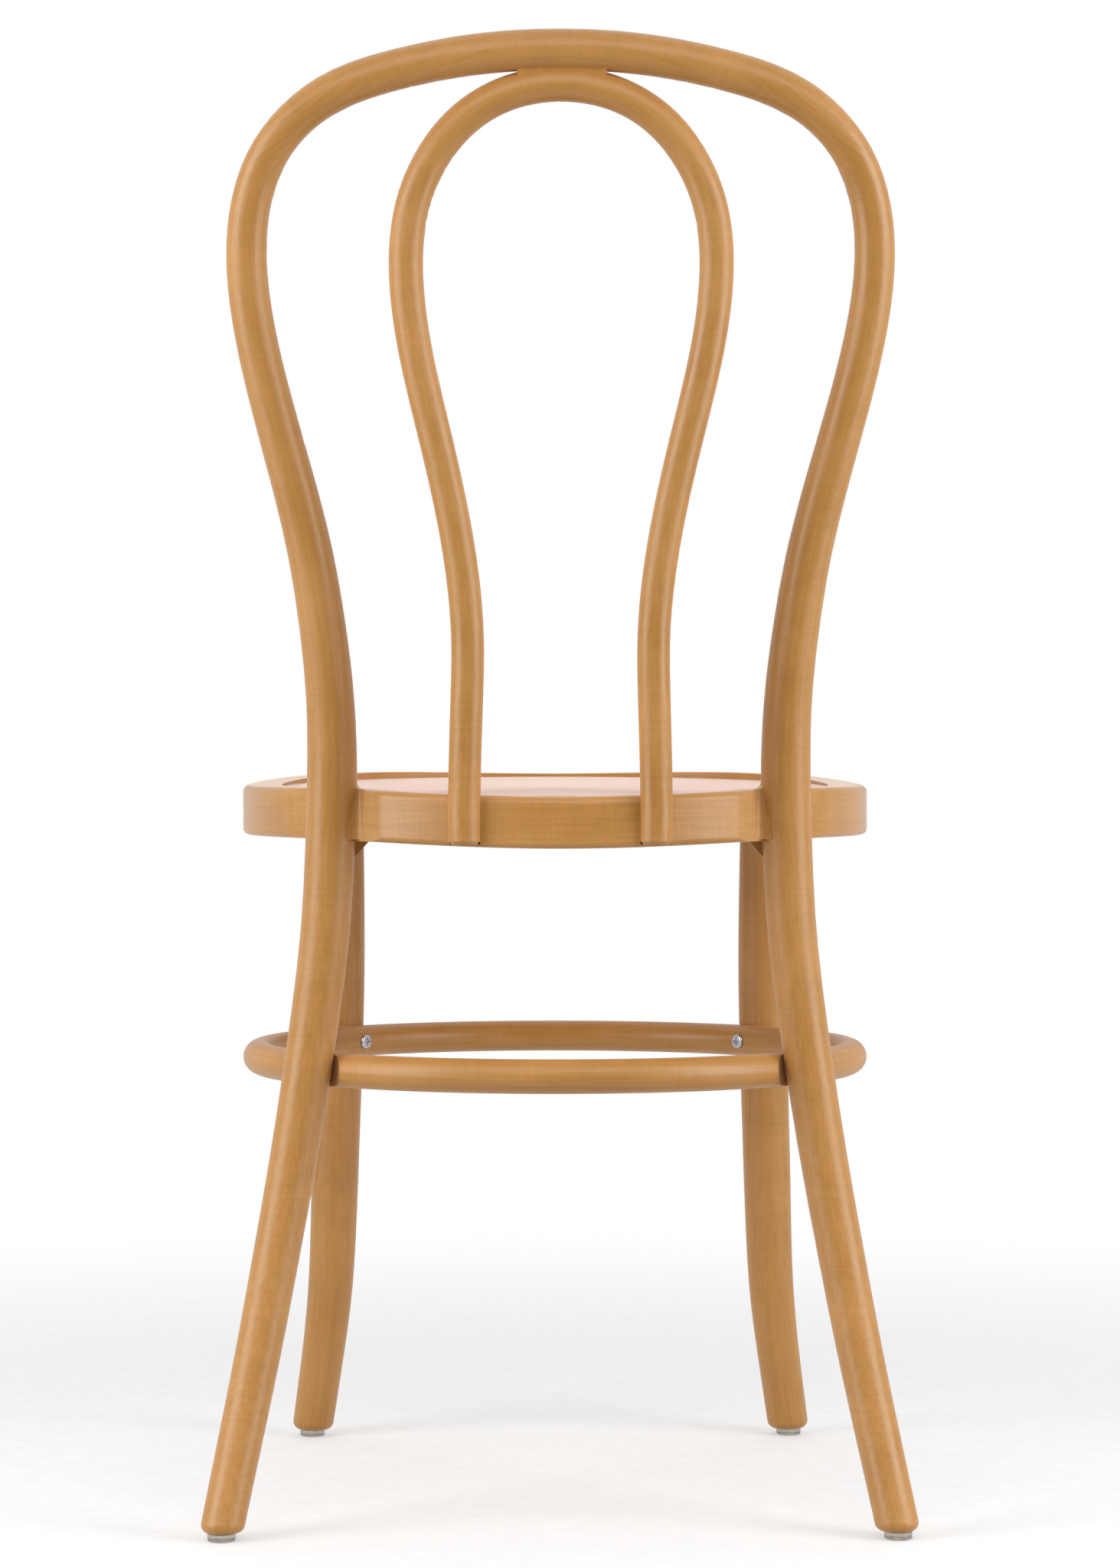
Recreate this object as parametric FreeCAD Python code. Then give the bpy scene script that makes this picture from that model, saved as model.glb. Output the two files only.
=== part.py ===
import FreeCAD, Part
import math
import os

V = FreeCAD.Vector

# The seat: a round rim that leans back a little and dips between the four legs
SEAT_R = 203.0
RIM_WIDTH = 35.0
RIM_THICK = 31.5
RIM_TOP_ROUND = 4.5
RIM_FOOT_ROUND = 3.5
SEAT_TOP_Z = 456.7
SEAT_TILT = 0.0365
RIM_WAVE = 1.3
RIM_POINTS = 32
PANEL_R = 178.0
PANEL_THICK = 5.5
PANEL_SUNK = 2.5
PANEL_GAP = 0.3

# The seat centre lies a little in front of the middle of the whole chair
SEAT_Y = -26.0

# Back hoop and rear legs, half of one centreline from the top of the back to the foot
HOOP_TOP_Z = 889.4
BACK_LEAN = 0.2143
SEAT_JOINT_Y = 150.0
SEAT_JOINT_Z = 455.0
HOOP_SIDE = [(58.0, 885.5), (112.0, 873.5), (149.0, 856.5), (172.0, 832.0),
             (184.5, 801.0), (187.6, 768.0), (182.0, 720.0), (167.3, 660.0),
             (151.5, 596.0), (142.5, 535.0), (139.2, 485.0)]
REAR_LEG = [(140.3, 148.5, 430.0), (143.0, 144.5, 375.0), (148.5, 141.6, 325.0),
            (155.0, 141.0, 279.0), (163.4, 143.4, 225.0), (173.8, 150.5, 165.0),
            (185.6, 163.5, 100.0), (195.8, 179.5, 48.0), (207.6, 201.8, -14.0)]
REAR_MARKS = [(-14.0, 13.0), (60.0, 13.5), (120.0, 14.0), (200.0, 14.5), (320.0, 15.0), (455.0, 15.4),
              (540.0, 14.25), (660.0, 12.9), (780.0, 12.0), (840.0, 11.5), (889.0, 12.1)]
REAR_STEPS = 44
REAR_CUT_Z = 12.0
REAR_FOOT_ROUND = 5.0

# Inner hoop, half of its centreline from the top down to the end in the seat rim
INNER_MARKS = [(419.0, 9.8), (620.0, 9.9), (740.0, 10.2), (870.0, 10.3)]
INNER_TOP_Z = 869.7
INNER_END_Z = 419.0
INNER_END_R = 7.8
INNER_LEAN = 0.1005
INNER_BASE_Y = 194.6
INNER_BASE_Z = 433.0
INNER_STEPS = 34
INNER_SIDE = [(22.0, 867.2), (45.0, 858.4), (66.0, 841.0), (80.3, 820.0), (90.0, 792.0),
              (92.4, 762.0), (87.0, 714.0), (74.3, 659.0), (62.2, 602.0), (56.0, 545.0),
              (56.6, 500.0), (57.8, 455.0), (57.8, INNER_END_Z)]

# Front legs: centreline and radius from the shoulder under the seat to the foot
FRONT_LEG = [(144.3, -121.0, 436.0, 15.2), (144.6, -131.0, 380.0, 16.0),
             (145.4, -141.5, 325.0, 16.5), (146.8, -149.5, 279.0, 16.6),
             (148.6, -156.0, 225.0, 16.4), (150.6, -161.5, 165.0, 16.1),
             (154.0, -168.0, 100.0, 15.3), (160.4, -176.5, 48.0, 14.4),
             (169.4, -187.0, -14.0, 13.8)]
FRONT_STEPS = 12
FRONT_TOP_Z = 432.0
FRONT_FOOT_ROUND = 5.5
TENON_R = 10.0
TENON_FOOT_Z = 424.0
TENON_TOP_Z = 448.0

# Leg ring, let into all four legs
RING_Z = 278.8
RING_R = 192.4
RING_BAR_R = 10.5
RING_SCOOP_R = 36.0

# Notch of the seat rim behind each rear leg: a flat with soft lips and fillets
NOTCH_TURN = 45.9
NOTCH_FLAT = 198.8
NOTCH_LIP_R = 20.0
NOTCH_FILLET = 6.0
NOTCH_FOOT_Z = 421.6
NOTCH_TOP_Z = 452.2
GUSSET_Y = (136.0, 144.0)
GUSSET_X = (112.0, 133.0)
GUSSET_Z = (402.0, 426.0)

# Joint of the two hoops at the top: a block let into both, on two dowels
BRIDGE_Z = 878.3
BRIDGE_HALF = 26.4
BRIDGE_DEPTH = 13.0
BRIDGE_TALL = 9.0
DOWEL_R = 2.5
DOWEL_X = 12.0
DOWEL_HALF = 9.0

# Feet
REAR_GLIDE = (204.1, 195.1)
FRONT_GLIDE = (166.7, -183.8)
GLIDE_R = 8.5
GLIDE_H = 4.5
STEM_R = 2.5
STEM_RISE = 8.0
SPIGOT_R = 6.0
SPIGOT_RISE = 9.0
SPIGOT_IN = 1.5

# Screws: head radius, head height, shank radius
RING_SCREW = (4.6, 2.6, 2.0)
SEAT_BOLT = (5.0, 4.0, 3.0)
SMALL_SCREW = (4.0, 2.4, 2.0)
HEAD_ROOM = 0.6
RIM_SEAT = SEAT_R - RIM_WIDTH + 0.6
RING_SEAT = RING_R - 9.2

# Where each leg crosses the seat rim and the leg ring
REAR_AT_SEAT = (139.9, 149.0)
REAR_AT_RING = (155.0, 141.0)
FRONT_AT_SEAT = (144.3, -121.0)
FRONT_AT_RING = (146.8, -149.5)
HOOP_AT_SEAT = (57.8, 194.6)
LEG_R_AT_RING = (14.8, 16.5)

# Each pair of screws: where it stands, height, radius of its seat, sizes, length
SCREWS = {
    "ring_screw_rear": (REAR_AT_RING, RING_Z, RING_SEAT, RING_SCREW, 26.0),
    "ring_screw_front": (FRONT_AT_RING, RING_Z, RING_SEAT, RING_SCREW, 26.0),
    "seat_bolt_rear": (REAR_AT_SEAT, 433.0, RIM_SEAT, SEAT_BOLT, 38.0),
    "tenon_screw_front": (FRONT_AT_SEAT, 440.0, RIM_SEAT, SMALL_SCREW, 22.0),
    "hoop_screw": (HOOP_AT_SEAT, 430.5, RIM_SEAT, SMALL_SCREW, 32.0)}


def place(x, y, z):
    # a point measured from the seat centre, moved into the frame of the chair
    return V(x, y + SEAT_Y, z)


def mirrored(shape):
    return shape.mirror(V(0, 0, 0), V(1, 0, 0))


def save(name, shape):
    solids = shape.Solids
    print(name, len(solids), shape.isValid(), round(shape.Volume))
    body = solids[0] if len(solids) == 1 else Part.makeCompound(solids)
    body.exportStep("parts/" + name + ".step")


def save_pair(name, shape):
    save(name + "_left", shape)
    save(name + "_right", mirrored(shape))


def outward(x, y):
    size = math.hypot(x, y)
    return V(x / size, y / size, 0)


def rod(base, direction, radius, length):
    return Part.makeCylinder(radius, length, base, direction)


def spline(points):
    curve = Part.BSplineCurve()
    curve.interpolate(points)
    return curve


def bent_rod(curve, radius_at, count):
    # a round rod along a curve: true circles at even steps, joined by one smooth skin
    corners = [(1, 0), (1, 1), (0, 1), (-1, 1), (-1, 0), (-1, -1), (0, -1), (1, -1), (1, 0)]
    weights = [1, math.sqrt(0.5)] * 4 + [1]
    first, last = curve.FirstParameter, curve.LastParameter
    steps = [first + (last - first) * i / count for i in range(count + 1)]
    rows = [[] for corner in corners]
    for u in steps:
        centre = curve.value(u)
        along = curve.tangent(u)[0]
        side = along.cross(V(0, 1, 0)).normalize()
        up = along.cross(side)
        r = radius_at(centre.z)
        for row, (a, b) in zip(rows, corners):
            row.append(centre + side * (a * r) + up * (b * r))
    lines = []
    for row in rows:
        line = Part.BSplineCurve()
        line.interpolate(Points=row, Parameters=steps)
        lines.append(line)
    poles = [line.getPoles() for line in lines]
    grid = [[w] * len(poles[0]) for w in weights]
    skin = Part.BSplineSurface()
    skin.buildFromPolesMultsKnots(poles, [3, 2, 2, 2, 3], lines[0].getMultiplicities(),
                                  [0, 1, 2, 3, 4], lines[0].getKnots(), False, False,
                                  2, 3, grid)
    faces = [skin.toShape()]
    for u in (first, last):
        faces.append(Part.Face(Part.Wire([skin.vIso(u).toShape()])))
    shell = Part.makeShell(faces)
    shell.sewShape()
    solid = Part.makeSolid(shell)
    if solid.Volume < 0:
        solid.reverse()
    return solid


def block_above(z):
    return Part.makeBox(1200, 1200, 1200, V(-600, -600, z))


# One rod forms the outer hoop of the back and both rear legs
def radius_between(marks, z):
    for (z0, r0), (z1, r1) in zip(marks, marks[1:]):
        if z <= z1:
            t = max(0.0, (z - z0) / (z1 - z0))
            return r0 + (r1 - r0) * t
    return marks[-1][1]


def rear_radius(z):
    return radius_between(REAR_MARKS, z)


def hoop_y(z):
    return SEAT_JOINT_Y + (z - SEAT_JOINT_Z) * BACK_LEAN


def make_rear_rod():
    half = [place(0, hoop_y(HOOP_TOP_Z), HOOP_TOP_Z)]
    half += [place(x, hoop_y(z), z) for x, z in HOOP_SIDE]
    half += [place(x, y, z) for x, y, z in REAR_LEG]
    other = [V(-p.x, p.y, p.z) for p in reversed(half[1:])]
    return bent_rod(spline(other + half), rear_radius, REAR_STEPS)


# The inner hoop stands in two grooves of the seat rim, its ends a little chamfered
def inner_radius(z):
    return radius_between(INNER_MARKS, z)


def make_inner_rod():
    def y_at(z):
        return INNER_BASE_Y + max(0.0, z - INNER_BASE_Z) * INNER_LEAN
    half = [place(0, y_at(INNER_TOP_Z), INNER_TOP_Z)]
    half += [place(x, y_at(z), z) for x, z in INNER_SIDE]
    other = [V(-p.x, p.y, p.z) for p in reversed(half[1:])]
    return bent_rod(spline(other + half), inner_radius, INNER_STEPS)


def make_front_rod():
    marks = [(m[2], m[3]) for m in reversed(FRONT_LEG)]
    curve = spline([place(x, y, z) for x, y, z, r in FRONT_LEG])
    leg = bent_rod(curve, lambda z: radius_between(marks, z), FRONT_STEPS)
    leg = leg.cut(block_above(FRONT_TOP_Z))
    return leg.cut(Part.makeBox(1200, 1200, 50, V(-600, -600, GLIDE_H - 50)))


# The seat rim follows a ring that leans back and rises a little over each leg
def rim_height(angle):
    y = SEAT_R * math.cos(angle)
    return SEAT_TOP_Z - SEAT_TILT * y - RIM_WAVE * math.cos(4 * angle)


def rim_profile():
    inner, outer = SEAT_R - RIM_WIDTH, SEAT_R
    top = rim_height(0.0)
    foot = top - RIM_THICK
    a, b = RIM_TOP_ROUND, RIM_FOOT_ROUND
    k = 1 - math.sqrt(0.5)

    def p(y, z):
        return place(0, y, z)
    edges = [
        Part.makeLine(p(inner, foot), p(outer - b, foot)),
        Part.Arc(p(outer - b, foot), p(outer - b * k, foot + b * k), p(outer, foot + b)).toShape(),
        Part.makeLine(p(outer, foot + b), p(outer, top - a)),
        Part.Arc(p(outer, top - a), p(outer - a * k, top - a * k), p(outer - a, top)).toShape(),
        Part.makeLine(p(outer - a, top), p(inner, top)),
        Part.makeLine(p(inner, top), p(inner, foot))]
    return Part.Wire(edges)


def make_rim():
    points = []
    for i in range(RIM_POINTS):
        angle = 2 * math.pi * i / RIM_POINTS
        x, y = SEAT_R * math.sin(angle), SEAT_R * math.cos(angle)
        points.append(place(x, y, rim_height(angle)))
    curve = Part.BSplineCurve()
    curve.interpolate(Points=points, PeriodicFlag=True)
    shell = Part.BRepOffsetAPI.MakePipeShell(Part.Wire([curve.toShape()]))
    shell.setBiNormalMode(V(0, 0, 1))
    shell.add(rim_profile(), False, False)
    shell.build()
    shell.makeSolid()
    return shell.shape()


def seat_normal():
    return V(0, SEAT_TILT, 1).normalize()


def seat_disc(radius, depth, height):
    # a disc square to the leaning seat, its lower face a given depth below the top
    n = seat_normal()
    base = place(0, 0, SEAT_TOP_Z) - n * depth
    return rod(base, n, radius, height)


def cross_screw(x, y, z, seat_radius, sizes, shank):
    # a screw that points outwards from the seat centre, head towards the centre
    head_r, head_h, shank_r = sizes
    d = outward(x, y)
    seat = place(0, 0, z) + d * seat_radius
    head = rod(seat - d * head_h, d, head_r, head_h)
    rim = [e for e in head.Edges if abs(e.CenterOfMass.sub(seat - d * head_h).Length) < 0.01]
    head = head.makeFillet(0.45 * head_h, rim)
    side = d.cross(V(0, 0, 1))
    for arm in (side, V(0, 0, 1)):
        slot = Part.makeBox(head_r * 1.1, 0.9, 1.3, V(-head_r * 0.55, -0.45, 0))
        other = arm.cross(d)
        turn = FreeCAD.Matrix(arm.x, other.x, d.x, 0, arm.y, other.y, d.y, 0,
                              arm.z, other.z, d.z, 0, 0, 0, 0, 1)
        slot = slot.transformGeometry(turn)
        slot.translate(seat - d * head_h)
        head = head.cut(slot)
    return head.fuse(rod(seat, d, shank_r, shank))


def screw_hole(x, y, z, seat_radius, sizes, shank):
    # the bore and the round spot face that a screw of these sizes needs
    head_r, head_h, shank_r = sizes
    d = outward(x, y)
    seat = place(0, 0, z) + d * seat_radius
    return rod(seat - d * 8, d, head_r + HEAD_ROOM, 8).fuse(rod(seat, d, shank_r, shank))


def make_screw(name):
    (x, y), z, seat_radius, sizes, shank = SCREWS[name]
    return cross_screw(x, y, z, seat_radius, sizes, shank)


def make_hole(name):
    (x, y), z, seat_radius, sizes, shank = SCREWS[name]
    return screw_hole(x, y, z, seat_radius, sizes, shank)


def both(shape):
    return shape.fuse(mirrored(shape))


# Feet: a turned glide with a stem, and on the rear legs a cap with a spigot
def make_glide(x, y):
    foot = place(x, y, 0)
    disc = rod(foot, V(0, 0, 1), GLIDE_R, GLIDE_H)
    lower = [e for e in disc.Edges if e.BoundBox.ZMax < 0.01 and e.Length > 10]
    disc = disc.makeFillet(1.0, lower)
    return disc.fuse(rod(place(x, y, GLIDE_H), V(0, 0, 1), STEM_R, STEM_RISE))


def glide_stem(x, y):
    return rod(place(x, y, GLIDE_H - 1), V(0, 0, 1), STEM_R, STEM_RISE + 1)


def lower_edges(shape, z):
    return [e for e in shape.Edges if e.BoundBox.ZMax < z + 0.05 and e.BoundBox.ZMin > z - 0.05]


def make_rear_cap(rear_rod, x, y):
    slab = Part.makeBox(400, 600, 60, V(0, -300, GLIDE_H))
    cap = rear_rod.common(slab)
    cap = cap.makeFillet(REAR_FOOT_ROUND, lower_edges(cap, GLIDE_H))
    cap = cap.cut(block_above(REAR_CUT_Z))
    cap = cap.fuse(rod(place(x - SPIGOT_IN, y - SPIGOT_IN, REAR_CUT_Z - 1), V(0, 0, 1), SPIGOT_R,
                       SPIGOT_RISE + 1))
    return cap.cut(glide_stem(x, y))


# The rim: a notch for each rear leg, a groove for each end of the inner hoop
def notch_point(across, out, z):
    # a point given along the flat of the notch and outwards from the seat centre
    turn = math.radians(NOTCH_TURN)
    return place(out * math.cos(turn) - across * math.sin(turn),
                 out * math.sin(turn) + across * math.cos(turn), z)


def prism(outline, foot, top):
    # an upright solid over an outline of notch points
    corners = [notch_point(a, o, foot) for a, o in outline]
    face = Part.Face(Part.makePolygon(corners + corners[:1]))
    return face.extrude(V(0, 0, top - foot))


def notch():
    # the block that leaves the flat, with a soft lip where it runs out at each end
    edge_r = SEAT_R + 0.05
    lip = NOTCH_LIP_R
    middle = NOTCH_FLAT - lip
    across = math.sqrt((edge_r - lip) ** 2 - middle ** 2)
    tip = edge_r / (edge_r - lip)
    block = prism([(-across * tip, middle * tip), (-across, NOTCH_FLAT), (across, NOTCH_FLAT),
                   (across * tip, middle * tip), (70, 270), (-70, 270)], 390, 490)
    for side in (-1, 1):
        block = block.cut(rod(notch_point(side * across, middle, 380), V(0, 0, 1), lip, 120))
    return block


def notch_fillets():
    # moulded fillets that join a rear leg to the flat and to the top of the rim
    x, y = REAR_AT_SEAT
    turn = math.radians(NOTCH_TURN)
    leg_across = y * math.cos(turn) - x * math.sin(turn)
    leg_out = x * math.cos(turn) + y * math.sin(turn)
    f = NOTCH_FILLET
    leg_r = rear_radius(NOTCH_TOP_Z)
    out = NOTCH_FLAT + f - 0.1
    reach = math.sqrt((leg_r + f - 0.1) ** 2 - (out - leg_out) ** 2)
    body = prism([(leg_across - reach, NOTCH_FLAT - 2), (leg_across + reach, NOTCH_FLAT - 2),
                  (leg_across + reach, out), (leg_across - reach, out)],
                 NOTCH_FOOT_Z, NOTCH_TOP_Z)
    flange = rod(place(x, y, NOTCH_TOP_Z - 1), V(0, 0, 1), leg_r + f, f)
    hollow = Part.makeTorus(leg_r + f, f, place(x, y, NOTCH_TOP_Z + f - 0.3), V(0, 0, 1))
    keep = prism([(-60, 170), (60, 170), (60, out), (-60, out)], 400, 480)
    body = body.fuse(flange.cut(hollow).common(keep))
    for side in (-1, 1):
        body = body.cut(rod(notch_point(leg_across + side * reach, out, 400), V(0, 0, 1), f, 90))
    return body


def make_seat_ring(rim, rear_rod_shape, inner_rod):
    ring = rim.cut(both(notch()))
    ring = ring.fuse(both(notch_fillets()))
    ring = ring.cut(seat_disc(PANEL_R, PANEL_SUNK + PANEL_THICK, 40))
    ring = ring.cut(rear_rod_shape)
    ring = ring.cut(inner_rod)
    fx, fy = FRONT_AT_SEAT
    socket = rod(place(fx, fy, 400), V(0, 0, 1), TENON_R, TENON_TOP_Z - 400)
    ring = ring.cut(both(socket))
    for name in ("seat_bolt_rear", "tenon_screw_front", "hoop_screw"):
        ring = ring.cut(both(make_hole(name)))
    return ring


def make_seat_panel():
    panel = seat_disc(PANEL_R - PANEL_GAP, PANEL_SUNK + PANEL_THICK, PANEL_THICK)
    top = max(panel.Faces, key=lambda f: f.CenterOfMass.z)
    return panel.makeFillet(1.0, top.Edges)


def make_front_leg(front_rod, rim):
    fx, fy = FRONT_AT_SEAT
    leg = front_rod.cut(rim)
    tenon = rod(place(fx, fy, TENON_FOOT_Z), V(0, 0, 1), TENON_R, TENON_TOP_Z - TENON_FOOT_Z)
    leg = leg.fuse(tenon)
    leg = leg.makeFillet(FRONT_FOOT_ROUND, lower_edges(leg, GLIDE_H))
    leg = leg.cut(make_hole("tenon_screw_front"))
    leg = leg.cut(make_hole("ring_screw_front"))
    return leg.cut(glide_stem(FRONT_GLIDE[0], FRONT_GLIDE[1]))


def make_gusset(rim, rear_rod_shape):
    a, b = GUSSET_Y
    inner, outer = GUSSET_X
    foot, top = GUSSET_Z
    corners = [place(inner, a, top), place(outer, a, top), place(outer, a, foot)]
    plate = Part.Face(Part.makePolygon(corners + corners[:1])).extrude(V(0, b - a, 0))
    return plate.cut(rim).cut(rear_rod_shape)


def make_leg_ring(rear_rod_shape, front_rod):
    ring = Part.makeTorus(RING_R, RING_BAR_R, place(0, 0, RING_Z), V(0, 0, 1))
    for (x, y), leg_r in zip((REAR_AT_RING, FRONT_AT_RING), LEG_R_AT_RING):
        d = outward(x, y)
        centre = place(0, 0, RING_Z - 30) + d * (math.hypot(x, y) - leg_r + RING_SCOOP_R)
        ring = ring.cut(both(rod(centre, V(0, 0, 1), RING_SCOOP_R, 60)))
    ring = ring.cut(rear_rod_shape).cut(both(front_rod))
    for name in ("ring_screw_rear", "ring_screw_front"):
        ring = ring.cut(both(make_hole(name)))
    return ring


# The hoops meet in the middle of the back, where a block is let into both
def dowel(x):
    n = V(0, BACK_LEAN, 1).normalize()
    middle = place(x, hoop_y(BRIDGE_Z), BRIDGE_Z)
    return rod(middle - n * DOWEL_HALF, n, DOWEL_R, 2 * DOWEL_HALF)


def bridge_block():
    block = Part.makeBox(2 * BRIDGE_HALF, BRIDGE_DEPTH, BRIDGE_TALL,
                         V(-BRIDGE_HALF, -BRIDGE_DEPTH / 2, -BRIDGE_TALL / 2))
    block.rotate(V(0, 0, 0), V(1, 0, 0), -math.degrees(math.atan(BACK_LEAN)))
    block.translate(place(0, hoop_y(BRIDGE_Z), BRIDGE_Z))
    return block


def make_bridge():
    return bridge_block().cut(dowel(DOWEL_X)).cut(dowel(-DOWEL_X))


def make_rear_frame(rear_rod_shape):
    frame = rear_rod_shape.cut(Part.makeBox(1200, 1200, 100, V(-600, -600, REAR_CUT_Z - 100)))
    x, y = REAR_GLIDE
    spigot = rod(place(x - SPIGOT_IN, y - SPIGOT_IN, 0), V(0, 0, 1), SPIGOT_R, REAR_CUT_Z + SPIGOT_RISE)
    frame = frame.cut(both(spigot))
    frame = frame.cut(bridge_block()).cut(dowel(DOWEL_X)).cut(dowel(-DOWEL_X))
    for name in ("ring_screw_rear", "seat_bolt_rear"):
        frame = frame.cut(both(make_hole(name)))
    return frame


def make_inner_hoop(inner_rod):
    # its top takes the block, and its ends are chamfered
    x, y = HOOP_AT_SEAT
    foot = place(x, y, INNER_END_Z)
    inside = Part.makeCone(INNER_END_R, INNER_END_R + 4, 4, foot, V(0, 0, 1))
    collar = rod(foot - V(0, 0, 1), V(0, 0, 1), 20, 4).cut(inside)
    hoop = inner_rod.cut(bridge_block()).cut(dowel(DOWEL_X)).cut(dowel(-DOWEL_X))
    hoop = hoop.cut(both(make_hole("hoop_screw")))
    return hoop.cut(both(collar))


def main():
    os.makedirs("parts", exist_ok=True)
    rear_rod_shape = make_rear_rod()
    inner_rod = make_inner_rod()
    front_rod = make_front_rod()
    rim = make_rim()
    save("seat_ring", make_seat_ring(rim, rear_rod_shape, inner_rod))
    save("seat_panel", make_seat_panel())
    save("rear_frame", make_rear_frame(rear_rod_shape))
    save("inner_hoop", make_inner_hoop(inner_rod))
    save("hoop_bridge", make_bridge())
    save("hoop_dowel_left", dowel(DOWEL_X))
    save("hoop_dowel_right", dowel(-DOWEL_X))
    save_pair("front_leg", make_front_leg(front_rod, rim))
    save_pair("seat_gusset", make_gusset(rim, rear_rod_shape))
    save("leg_ring", make_leg_ring(rear_rod_shape, front_rod))
    for name in SCREWS:
        save_pair(name, make_screw(name))
    save_pair("rear_foot_cap", make_rear_cap(rear_rod_shape, *REAR_GLIDE))
    save_pair("rear_glide", make_glide(*REAR_GLIDE))
    save_pair("front_glide", make_glide(*FRONT_GLIDE))


main()
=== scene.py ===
# %% [markdown]
# A bistro chair, moulded in tan resin after the bentwood pattern, seen from
# behind and from half its height. The solids of the chair come ready made as a
# fixed frame. This lesson softens their edges, gives them their finishes, and
# sets up the studio and the camera round them.

# %% Load the chair
import math
import bmesh
import bpy
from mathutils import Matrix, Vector

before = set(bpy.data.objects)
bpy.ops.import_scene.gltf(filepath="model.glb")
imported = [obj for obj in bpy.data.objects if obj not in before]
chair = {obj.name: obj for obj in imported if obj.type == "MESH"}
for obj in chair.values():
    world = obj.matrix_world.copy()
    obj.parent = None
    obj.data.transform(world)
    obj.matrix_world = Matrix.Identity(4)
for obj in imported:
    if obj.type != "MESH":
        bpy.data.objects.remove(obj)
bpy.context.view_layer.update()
print("pieces in the frame:", len(chair))

# %% [markdown]
# Before any finish, the bodies are made to shade well. The mesh of a moulded
# solid has a few sharp edges, such as the rim of a screw hole or the foot of a
# leg, and in a mould no edge is truly sharp. A small bevel as a modifier gives
# each one a thin line of light. Smooth shading does the rest for the round rods,
# and hardened normals keep the flat faces flat next to the bevels. The screws
# and glides are small, so their bevel is small too.

# %% Soften the edges
ROD_EDGE = 0.0007
RIM_EDGE = 0.0012
SMALL_EDGE = 0.00025
SHARP_FROM = math.radians(38)

def soften(name, width):
    piece = chair[name]
    for face in piece.data.polygons:
        face.use_smooth = True
    bevel = piece.modifiers.new("soft edge", "BEVEL")
    bevel.width = width
    bevel.segments = 2
    bevel.limit_method = "ANGLE"
    bevel.angle_limit = SHARP_FROM
    bevel.harden_normals = True

def edge_width(name):
    if any(word in name for word in ("screw", "bolt", "dowel", "glide")):
        return SMALL_EDGE
    return RIM_EDGE if name == "seat_ring" else ROD_EDGE

for name in chair:
    soften(name, edge_width(name))
print("edges softened on", len(chair), "pieces")

# %% [markdown]
# Every finish below is a small network of nodes, so a short helper is handy: it
# adds one node, fills its sockets, and returns it. A socket takes a plain value,
# or the output of another node, which is then wired to it.

# %% A helper for wiring finishes
def add(tree, kind, sockets=None, **settings):
    node = tree.nodes.new(kind)
    for key, value in settings.items():
        setattr(node, key, value)
    for key, value in (sockets or {}).items():
        if isinstance(value, bpy.types.NodeSocket):
            tree.links.new(value, node.inputs[key])
        else:
            node.inputs[key].default_value = value
    return node

def maths(tree, operation, first, second=0.0, third=0.0):
    return add(tree, "ShaderNodeMath", {0: first, 1: second, 2: third},
               operation=operation).outputs[0]

def new_finish(name):
    finish = bpy.data.materials.new(name)
    finish.use_nodes = True
    tree = finish.node_tree
    skin = tree.nodes["Principled BSDF"]
    return finish, tree, skin

def tone(tree, factor, low, high, low_tone, high_tone):
    ramp = add(tree, "ShaderNodeValToRGB", {"Fac": factor})
    ramp.color_ramp.elements[0].position = low
    ramp.color_ramp.elements[0].color = (*low_tone, 1)
    ramp.color_ramp.elements[1].position = high
    ramp.color_ramp.elements[1].color = (*high_tone, 1)
    return ramp.outputs["Color"]

# %% [markdown]
# The resin carries a faint grain that runs lengthwise in every rod, like the
# figure of bent beech that the mould imitates. A noise texture does this when it
# is stretched along the rod. The rods bend, so a plain stretch along one axis
# would drift out of them. Instead the grain is given its own coordinates: how
# far a point lies off the centreline of its rod, and how far along it lies. A
# curve node holds the centreline of the side of a hoop or leg, as offset from
# the middle of the chair against height, and the round top of a hoop is
# measured from the centre of its arc.

# %% Centrelines that the grain follows
REAR_LINE = [(0.0, 0.2046), (0.048, 0.1958), (0.1, 0.1856), (0.165, 0.1738),
             (0.225, 0.1634), (0.279, 0.155), (0.325, 0.1485), (0.43, 0.1403),
             (0.535, 0.1425), (0.596, 0.1515), (0.66, 0.1673), (0.72, 0.182),
             (0.768, 0.1876), (0.801, 0.1845), (0.832, 0.172), (0.9, 0.13)]
INNER_LINE = [(0.42, 0.0578), (0.5, 0.0566), (0.545, 0.056), (0.602, 0.0622),
              (0.659, 0.0743), (0.714, 0.087), (0.762, 0.0924), (0.792, 0.09),
              (0.8205, 0.0805), (0.9, 0.05)]
FRONT_LINE = [(0.0, 0.1675), (0.048, 0.1604), (0.1, 0.154), (0.165, 0.1506),
              (0.225, 0.1486), (0.279, 0.1468), (0.38, 0.1446), (0.45, 0.1443)]
TALL, WIDE = 0.95, 0.25
BACK_LEAN = 0.2

def side_offset(tree, place, line):
    height = maths(tree, "DIVIDE", place["Z"], TALL)
    curve = tree.nodes.new("ShaderNodeFloatCurve")
    points = curve.mapping.curves[0].points
    points[0].location = (line[0][0] / TALL, line[0][1] / WIDE)
    points[1].location = (line[-1][0] / TALL, line[-1][1] / WIDE)
    for z, x in line[1:-1]:
        points.new(z / TALL, x / WIDE)
    curve.mapping.update()
    tree.links.new(height, curve.inputs["Value"])
    middle = maths(tree, "MULTIPLY", curve.outputs["Value"], WIDE)
    return maths(tree, "SUBTRACT", maths(tree, "ABSOLUTE", place["X"]), middle)

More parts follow.
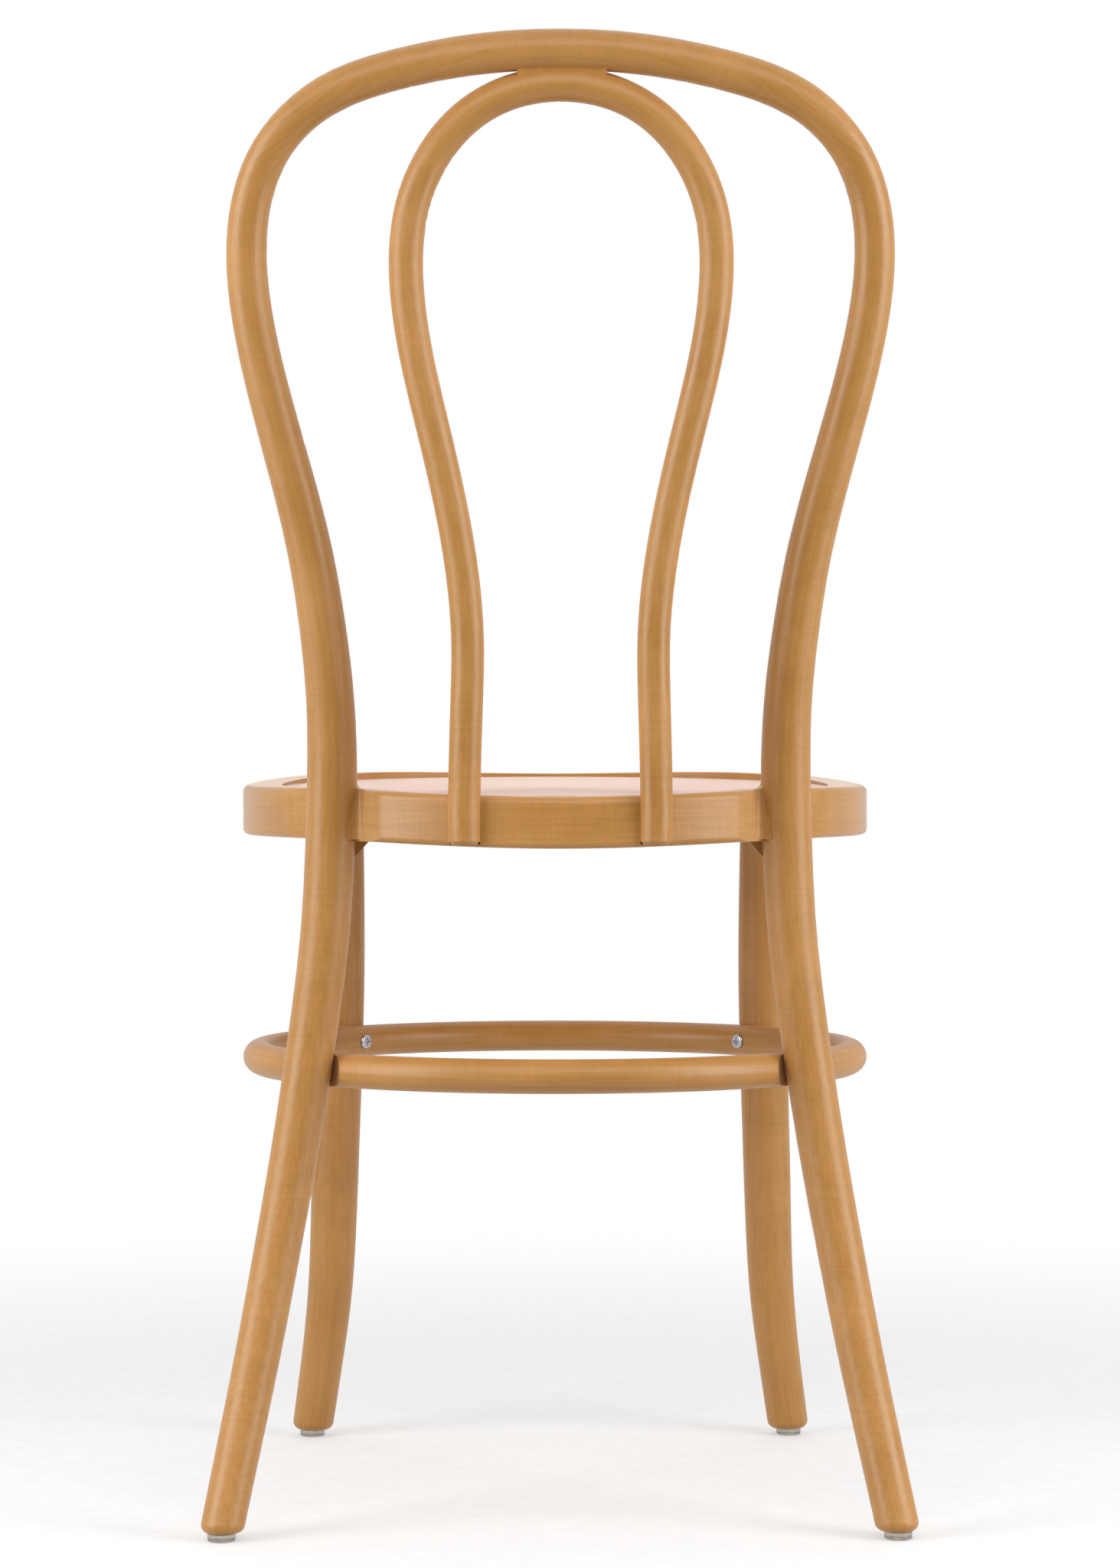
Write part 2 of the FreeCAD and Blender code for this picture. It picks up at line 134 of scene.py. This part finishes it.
def arc_offset(tree, place, centre_z, radius):
    up = maths(tree, "SUBTRACT", place["Z"], centre_z)
    across = maths(tree, "MULTIPLY", place["X"], place["X"])
    square = maths(tree, "MULTIPLY_ADD", up, up, across)
    return maths(tree, "SUBTRACT", maths(tree, "SQRT", square), radius), up

def lengthwise(tree, line, arc=None):
    """Coordinates of a tall rod: off its centreline, through its depth, along it."""
    place = add(tree, "ShaderNodeSeparateXYZ", {
        0: add(tree, "ShaderNodeTexCoord").outputs["Object"]}).outputs
    off = side_offset(tree, place, line)
    along = place["Z"]
    if arc:
        centre_z, radius, start, end = arc
        off_arc, up = arc_offset(tree, place, centre_z, radius)
        turn = maths(tree, "ARCTAN2", up, maths(tree, "ABSOLUTE", place["X"]))
        along_arc = maths(tree, "MULTIPLY_ADD", turn, radius, centre_z)
        share = add(tree, "ShaderNodeMapRange", {
            "Value": place["Z"], "From Min": start, "From Max": end},
            interpolation_type="SMOOTHSTEP").outputs["Result"]
        off = add(tree, "ShaderNodeMix", {"Factor": share, "A": off, "B": off_arc},
                  data_type="FLOAT").outputs["Result"]
        along = add(tree, "ShaderNodeMix", {"Factor": share, "A": along,
                                            "B": along_arc},
                    data_type="FLOAT").outputs["Result"]
    lean = maths(tree, "MULTIPLY_ADD", place["Z"], -BACK_LEAN, place["Y"])
    return add(tree, "ShaderNodeCombineXYZ", {0: off, 1: lean, 2: along}).outputs[0]

def roundabout(tree, centre_y, radius):
    """Coordinates of a flat ring: off its middle line, through its height, round it."""
    place = add(tree, "ShaderNodeSeparateXYZ", {
        0: add(tree, "ShaderNodeTexCoord").outputs["Object"]}).outputs
    y = maths(tree, "SUBTRACT", place["Y"], centre_y)
    square = maths(tree, "MULTIPLY_ADD", y, y,
                   maths(tree, "MULTIPLY", place["X"], place["X"]))
    off = maths(tree, "SUBTRACT", maths(tree, "SQRT", square), radius)
    turn = maths(tree, "ARCTAN2", y, place["X"])
    along = maths(tree, "MULTIPLY", turn, radius)
    return add(tree, "ShaderNodeCombineXYZ", {0: off, 1: place["Z"], 2: along}).outputs[0]

print("grain follows", len(REAR_LINE) + len(INNER_LINE) + len(FRONT_LINE), "marks")

# %% [markdown]
# The tan resin itself is one colour all through, but it never looks even. The
# pigment is clouded in wide soft patches, fine streaks run lengthwise, and faint
# tool marks of the mould cross them. Handling has left the gloss uneven too. So
# the colour comes from cloud, streak and cross marks together, the roughness from
# the cloud, and the bump from streaks, cross marks and a very fine orange peel. A
# little sheen stands for the fine tooth of the skin, which catches light at a low
# angle. The rim of the seat has more of it than the rods.

# %% Tan resin
TAN_DEEP = (0.43, 0.198, 0.043)
TAN_MID = (0.49, 0.232, 0.056)
TAN_LIGHT = (0.56, 0.273, 0.074)
CLOUD_SCALE = 17.0
PEEL_SCALE = 900.0
STREAK_SCALE = (420.0, 420.0, 14.0)
CROSS_SCALE = (40.0, 40.0, 620.0)
ROD_GLOSS = 0.4
ROD_SHEEN = 0.25
RIM_SHEEN = 0.8

def tan_resin(name, coordinates, sheen=ROD_SHEEN):
    finish, tree, skin = new_finish(name)
    grain = coordinates(tree)
    flat = add(tree, "ShaderNodeTexCoord").outputs["Object"]
    cloud = add(tree, "ShaderNodeTexNoise", {"Vector": flat, "Scale": CLOUD_SCALE,
                                             "Detail": 3.0, "Roughness": 0.55})
    long_way = add(tree, "ShaderNodeMapping", {
        "Vector": grain, "Scale": STREAK_SCALE})
    streak = add(tree, "ShaderNodeTexNoise", {"Vector": long_way.outputs[0],
                                              "Scale": 1.0, "Detail": 3.0,
                                              "Roughness": 0.6})
    cross_way = add(tree, "ShaderNodeMapping", {
        "Vector": grain, "Scale": CROSS_SCALE})
    cross = add(tree, "ShaderNodeTexNoise", {"Vector": cross_way.outputs[0],
                                             "Scale": 1.0, "Detail": 2.0,
                                             "Roughness": 0.5})
    peel = add(tree, "ShaderNodeTexNoise", {"Vector": flat, "Scale": PEEL_SCALE,
                                            "Detail": 2.0, "Roughness": 0.5})
    mixed = maths(tree, "MULTIPLY_ADD", streak.outputs["Fac"], 0.42,
                  maths(tree, "MULTIPLY_ADD", cross.outputs["Fac"], 0.16,
                        maths(tree, "MULTIPLY", cloud.outputs["Fac"], 0.42)))
    ramp = add(tree, "ShaderNodeValToRGB", {"Fac": mixed})
    ramp.color_ramp.elements[0].position = 0.36
    ramp.color_ramp.elements[0].color = (*TAN_DEEP, 1)
    ramp.color_ramp.elements[1].position = 0.66
    ramp.color_ramp.elements[1].color = (*TAN_LIGHT, 1)
    middle = ramp.color_ramp.elements.new(0.5)
    middle.color = (*TAN_MID, 1)
    tree.links.new(ramp.outputs["Color"], skin.inputs["Base Color"])
    shine = add(tree, "ShaderNodeMapRange", {
        "Value": cloud.outputs["Fac"], "From Min": 0.35, "From Max": 0.65,
        "To Min": ROD_GLOSS - 0.05, "To Max": ROD_GLOSS + 0.07})
    tree.links.new(shine.outputs["Result"], skin.inputs["Roughness"])
    marks = maths(tree, "MULTIPLY_ADD", streak.outputs["Fac"], 0.5,
                  maths(tree, "MULTIPLY_ADD", cross.outputs["Fac"], 0.35,
                        maths(tree, "MULTIPLY", peel.outputs["Fac"], 0.25)))
    bump = add(tree, "ShaderNodeBump", {"Strength": 0.3, "Distance": 0.0007,
                                        "Height": marks})
    tree.links.new(bump.outputs["Normal"], skin.inputs["Normal"])
    skin.inputs["IOR"].default_value = 1.5
    skin.inputs["Specular IOR Level"].default_value = 0.6
    skin.inputs["Sheen Weight"].default_value = sheen
    skin.inputs["Sheen Roughness"].default_value = 0.35
    skin.inputs["Sheen Tint"].default_value = (1.0, 0.86, 0.8, 1)
    return finish

SEAT_CENTRE_Y = -0.026
RIM_MIDDLE_R = 0.1855
LEG_RING_R = 0.1924
rear_resin = tan_resin("tan resin of the back hoop", lambda tree: lengthwise(
    tree, REAR_LINE, arc=(0.7, 0.189, 0.8, 0.86)))
inner_resin = tan_resin("tan resin of the inner hoop", lambda tree: lengthwise(
    tree, INNER_LINE, arc=(0.774, 0.0926, 0.78, 0.835)))
front_resin = tan_resin("tan resin of the front legs", lambda tree: lengthwise(
    tree, FRONT_LINE))
ring_resin = tan_resin("tan resin of the leg ring", lambda tree: roundabout(
    tree, SEAT_CENTRE_Y, LEG_RING_R))
rim_resin = tan_resin("tan resin of the seat rim", lambda tree: roundabout(
    tree, SEAT_CENTRE_Y, RIM_MIDDLE_R), sheen=RIM_SHEEN)
print("resin finishes:", [m.name for m in bpy.data.materials if "resin" in m.name])

# %% [markdown]
# The round panel that one sits on is moulded in the same resin, with a fine
# woven relief that keeps a sitter from sliding. Seen at a low angle it catches
# the white room and turns pinkish. Two sets of waves at right angles, multiplied
# together, make the over-and-under of the weave. The hollows between the strands
# are duller than their crowns, and their colour is made a little darker as painted
# shade, since the resin itself is the same colour all through.

# %% Woven seat skin
WEAVE_PITCH = 0.0026

def woven_skin(name):
    finish, tree, skin = new_finish(name)
    spot = add(tree, "ShaderNodeTexCoord").outputs["Object"]
    place = add(tree, "ShaderNodeSeparateXYZ", {0: spot}).outputs
    turns = 2 * math.pi / WEAVE_PITCH
    warp = maths(tree, "SINE", maths(tree, "MULTIPLY", place["X"], turns))
    weft = maths(tree, "SINE", maths(tree, "MULTIPLY", place["Y"], turns))
    cloth = maths(tree, "MULTIPLY", warp, weft)
    crown = maths(tree, "MULTIPLY_ADD", cloth, 0.5, 0.5)
    cloud = add(tree, "ShaderNodeTexNoise", {"Vector": spot, "Scale": 21.0,
                                             "Detail": 4.0, "Roughness": 0.6})
    thread = add(tree, "ShaderNodeTexNoise", {"Vector": spot, "Scale": 520.0,
                                              "Detail": 2.0})
    # the crown term darkens the colour in the hollows of the weave: painted shade
    mixed = maths(tree, "MULTIPLY_ADD", crown, 0.35,
                  maths(tree, "MULTIPLY_ADD", thread.outputs["Fac"], 0.2,
                        maths(tree, "MULTIPLY", cloud.outputs["Fac"], 0.45)))
    tree.links.new(tone(tree, mixed, 0.25, 0.75, TAN_DEEP, TAN_LIGHT),
                   skin.inputs["Base Color"])
    shine = add(tree, "ShaderNodeMapRange", {"Value": crown, "To Min": 0.42,
                                             "To Max": 0.3})
    tree.links.new(shine.outputs["Result"], skin.inputs["Roughness"])
    bump = add(tree, "ShaderNodeBump", {"Strength": 0.3, "Distance": 0.0002,
                                        "Height": crown})
    tree.links.new(bump.outputs["Normal"], skin.inputs["Normal"])
    skin.inputs["Specular IOR Level"].default_value = 0.8
    skin.inputs["Sheen Weight"].default_value = 1.0
    skin.inputs["Sheen Roughness"].default_value = 0.3
    skin.inputs["Sheen Tint"].default_value = (1.0, 0.8, 0.75, 1)
    return finish

seat_skin = woven_skin("woven seat skin")
print("weave pitch in mm:", WEAVE_PITCH * 1000)

# %% [markdown]
# The screws are steel with a bright bluish zinc coat. Zinc is a metal finish, so
# the colour sits in the reflection, and fine turning marks and a blotchy
# passivation layer break it up.

# %% Zinc screws
def zinc(name):
    finish, tree, skin = new_finish(name)
    spot = add(tree, "ShaderNodeTexCoord").outputs["Object"]
    blotch = add(tree, "ShaderNodeTexNoise", {"Vector": spot, "Scale": 420.0,
                                              "Detail": 3.0})
    turned = add(tree, "ShaderNodeTexNoise", {"Vector": spot, "Scale": 2600.0,
                                              "Detail": 1.0})
    tree.links.new(tone(tree, blotch.outputs["Fac"], 0.3, 0.7,
                        (0.58, 0.61, 0.66), (0.80, 0.84, 0.90)),
                   skin.inputs["Base Color"])
    shine = add(tree, "ShaderNodeMapRange", {"Value": blotch.outputs["Fac"],
                                             "To Min": 0.2, "To Max": 0.42})
    tree.links.new(shine.outputs["Result"], skin.inputs["Roughness"])
    bump = add(tree, "ShaderNodeBump", {"Strength": 0.25, "Distance": 0.0001,
                                        "Height": turned.outputs["Fac"]})
    tree.links.new(bump.outputs["Normal"], skin.inputs["Normal"])
    skin.inputs["Metallic"].default_value = 1.0
    return finish

zinc_coat = zinc("bright zinc")
print("metal finish:", zinc_coat.name)

# %% [markdown]
# Each leg stands on a small glide of clear soft plastic. It lets light through
# and bends it, and its walls look smoky where they are thick. Transmission with
# a rough surface gives that, and a cloudy tint keeps it from looking like glass.

# %% Clear glides
def clear_plastic(name):
    finish, tree, skin = new_finish(name)
    spot = add(tree, "ShaderNodeTexCoord").outputs["Object"]
    haze = add(tree, "ShaderNodeTexNoise", {"Vector": spot, "Scale": 300.0,
                                            "Detail": 3.0})
    tree.links.new(tone(tree, haze.outputs["Fac"], 0.3, 0.7,
                        (0.62, 0.55, 0.47), (0.86, 0.81, 0.75)),
                   skin.inputs["Base Color"])
    shine = add(tree, "ShaderNodeMapRange", {"Value": haze.outputs["Fac"],
                                             "To Min": 0.12, "To Max": 0.34})
    tree.links.new(shine.outputs["Result"], skin.inputs["Roughness"])
    bump = add(tree, "ShaderNodeBump", {"Strength": 0.15, "Distance": 0.0002,
                                        "Height": haze.outputs["Fac"]})
    tree.links.new(bump.outputs["Normal"], skin.inputs["Normal"])
    skin.inputs["Transmission Weight"].default_value = 0.75
    skin.inputs["IOR"].default_value = 1.46
    return finish

glide_plastic = clear_plastic("smoky clear plastic")
print("glide finish:", glide_plastic.name)

# %% [markdown]
# Two dowels pin the little bridge between the hoops. They are plain brown plastic
# and out of sight, so a drawn streak along each is all that they need.

# %% Brown dowels
def brown_plastic(name):
    finish, tree, skin = new_finish(name)
    spot = add(tree, "ShaderNodeTexCoord").outputs["Object"]
    stretched = add(tree, "ShaderNodeMapping", {"Vector": spot,
                                                "Scale": (900.0, 60.0, 900.0)})
    fibre = add(tree, "ShaderNodeTexNoise", {"Vector": stretched.outputs[0],
                                             "Scale": 1.0, "Detail": 3.0})
    tree.links.new(tone(tree, fibre.outputs["Fac"], 0.3, 0.7,
                        (0.26, 0.145, 0.066), (0.34, 0.195, 0.094)),
                   skin.inputs["Base Color"])
    bump = add(tree, "ShaderNodeBump", {"Strength": 0.3, "Distance": 0.0002,
                                        "Height": fibre.outputs["Fac"]})
    tree.links.new(bump.outputs["Normal"], skin.inputs["Normal"])
    skin.inputs["Roughness"].default_value = 0.62
    return finish

dowel_plastic = brown_plastic("brown plastic dowel")
print("dowel finish:", dowel_plastic.name)

# %% [markdown]
# Now each piece of the chair gets the finish of its real counterpart. The pieces
# are told apart by their names.

# %% Dress the pieces
def finish_for(name):
    if "glide" in name:
        return glide_plastic
    if "screw" in name or "bolt" in name:
        return zinc_coat
    if "dowel" in name:
        return dowel_plastic
    if name == "seat_panel":
        return seat_skin
    if name == "seat_ring":
        return rim_resin
    if name == "leg_ring":
        return ring_resin
    if name in ("inner_hoop", "hoop_bridge"):
        return inner_resin
    if name.startswith("front_leg"):
        return front_resin
    return rear_resin

for name, piece in chair.items():
    piece.data.materials.clear()
    piece.data.materials.append(finish_for(name))
print("pieces dressed:", len(chair))

# %% [markdown]
# The studio is plain: a pale floor that fades into a white room. The floor is a
# round sheet. Its edge fades out, so that no horizon shows behind the legs, and it
# is partly see-through, which leaves only soft shadows at the feet.

# %% Floor
FLOOR_RADIUS = 1.5
FADE_START = 0.45
FLOOR_COVER = 0.6

def make_floor(radius, fade_start):
    mesh = bpy.data.meshes.new("floor")
    sheet = bmesh.new()
    bmesh.ops.create_circle(sheet, cap_ends=True, segments=96, radius=radius)
    sheet.to_mesh(mesh)
    sheet.free()
    floor = bpy.data.objects.new("floor", mesh)
    bpy.context.scene.collection.objects.link(floor)
    finish, tree, skin = new_finish("pale floor")
    spot = add(tree, "ShaderNodeTexCoord").outputs["Object"]
    grit = add(tree, "ShaderNodeTexNoise", {"Vector": spot, "Scale": 60.0})
    tree.links.new(tone(tree, grit.outputs["Fac"], 0.3, 0.7, (0.86, 0.86, 0.86),
                        (0.9, 0.9, 0.9)), skin.inputs["Base Color"])
    skin.inputs["Roughness"].default_value = 0.9
    skin.inputs["Specular IOR Level"].default_value = 0.1
    away = add(tree, "ShaderNodeVectorMath", {0: spot}, operation="LENGTH")
    solid = add(tree, "ShaderNodeMapRange", {
        "Value": away.outputs["Value"], "From Min": fade_start, "From Max": radius,
        "To Min": FLOOR_COVER, "To Max": 0.0}, interpolation_type="SMOOTHSTEP")
    tree.links.new(solid.outputs["Result"], skin.inputs["Alpha"])
    mesh.materials.append(finish)
    floor.location.z = -0.0002

make_floor(FLOOR_RADIUS, FADE_START)
print("floor radius in metres:", FLOOR_RADIUS)

# %% [markdown]
# Two tall soft lights stand at the sides, between the chair and the camera, and
# one wide soft light hangs high in front of the camera. The tall lights draw the
# long soft highlights down the rods, and the space between them keeps the middle
# of the seat rim a little darker, as in the photograph. The near lights also fade
# towards the front legs, which stand farther away.

# %% Lights
SIDE_POWER = 18
HIGH_POWER = 14

def soft_light(name, place, aim, width, height, power):
    lamp = bpy.data.lights.new(name, "AREA")
    lamp.shape = "RECTANGLE"
    lamp.size = width
    lamp.size_y = height
    lamp.energy = power
    light = bpy.data.objects.new(name, lamp)
    light.location = place
    light.rotation_euler = (Vector(aim) - Vector(place)).to_track_quat("-Z", "Y").to_euler()
    bpy.context.scene.collection.objects.link(light)

soft_light("left softbox", (1.35, 0.75, 0.8), (0, 0.1, 0.5), 0.8, 1.4, SIDE_POWER)
soft_light("right softbox", (-1.35, 0.75, 0.8), (0, 0.1, 0.5), 0.8, 1.4, SIDE_POWER)
soft_light("high softbox", (0, 1.6, 1.7), (0, 0.15, 0.5), 2.2, 0.9, HIGH_POWER)

# %% [markdown]
# The room itself gives light too. It is bright beyond the chair, which turns the
# seat pale where it is seen at a low angle, and dim behind the camera. A little
# more comes from the ceiling, for the floor. The camera sees it as plain white.

# %% White room
BEYOND = 0.72
BEHIND_CAMERA = 0.06
CEILING = 0.3

scene = bpy.context.scene
scene.view_settings.view_transform = "Standard"
world = bpy.data.worlds.new("white room")
scene.world = world
world.use_nodes = True
room = world.node_tree
lit = room.nodes["Background"]
lit.inputs["Color"].default_value = (1, 1, 1, 1)
way = add(room, "ShaderNodeSeparateXYZ", {
    0: add(room, "ShaderNodeTexCoord").outputs["Generated"]}).outputs
brightness = add(room, "ShaderNodeMapRange", {
    "Value": way["Y"], "From Min": -0.65, "From Max": 0.55, "To Min": BEYOND,
    "To Max": BEHIND_CAMERA}, interpolation_type="SMOOTHSTEP").outputs["Result"]
ceiling = add(room, "ShaderNodeMapRange", {
    "Value": way["Z"], "From Min": 0.3, "From Max": 0.9, "To Min": 0.0,
    "To Max": CEILING}, interpolation_type="SMOOTHSTEP").outputs["Result"]
room.links.new(maths(room, "ADD", brightness, ceiling), lit.inputs["Strength"])
seen = add(room, "ShaderNodeBackground", {"Color": (1, 1, 1, 1), "Strength": 1.0})
ray = add(room, "ShaderNodeLightPath")
either = add(room, "ShaderNodeMixShader", {0: ray.outputs["Is Camera Ray"],
                                           1: lit.outputs[0],
                                           2: seen.outputs[0]})
room.links.new(either.outputs[0], room.nodes["World Output"].inputs["Surface"])
print("room:", scene.world.name)

# %% [markdown]
# The camera stands two and a half metres behind the chair, level, at the height
# of the seat, and half a hand's width off the middle. A long lens keeps the legs from
# splaying out. The height shows in the seat, which is seen from just above its
# edge, and the distance shows in how much larger the near side of the leg ring
# looks than the far side.

# %% Camera
EYE = Vector((0.042, 2.514, 0.4555))
AIM = Vector((-0.00325, -0.026, 0.4555))
lens = bpy.data.cameras.new("camera")
lens.sensor_fit = "HORIZONTAL"
lens.sensor_width = 36.0
lens.lens = 125.0
camera = bpy.data.objects.new("camera", lens)
camera.location = EYE
camera.rotation_euler = (AIM - EYE).to_track_quat("-Z", "Y").to_euler()
scene.collection.objects.link(camera)
scene.camera = camera
print("camera distance in metres:", round((AIM - EYE).length, 3))
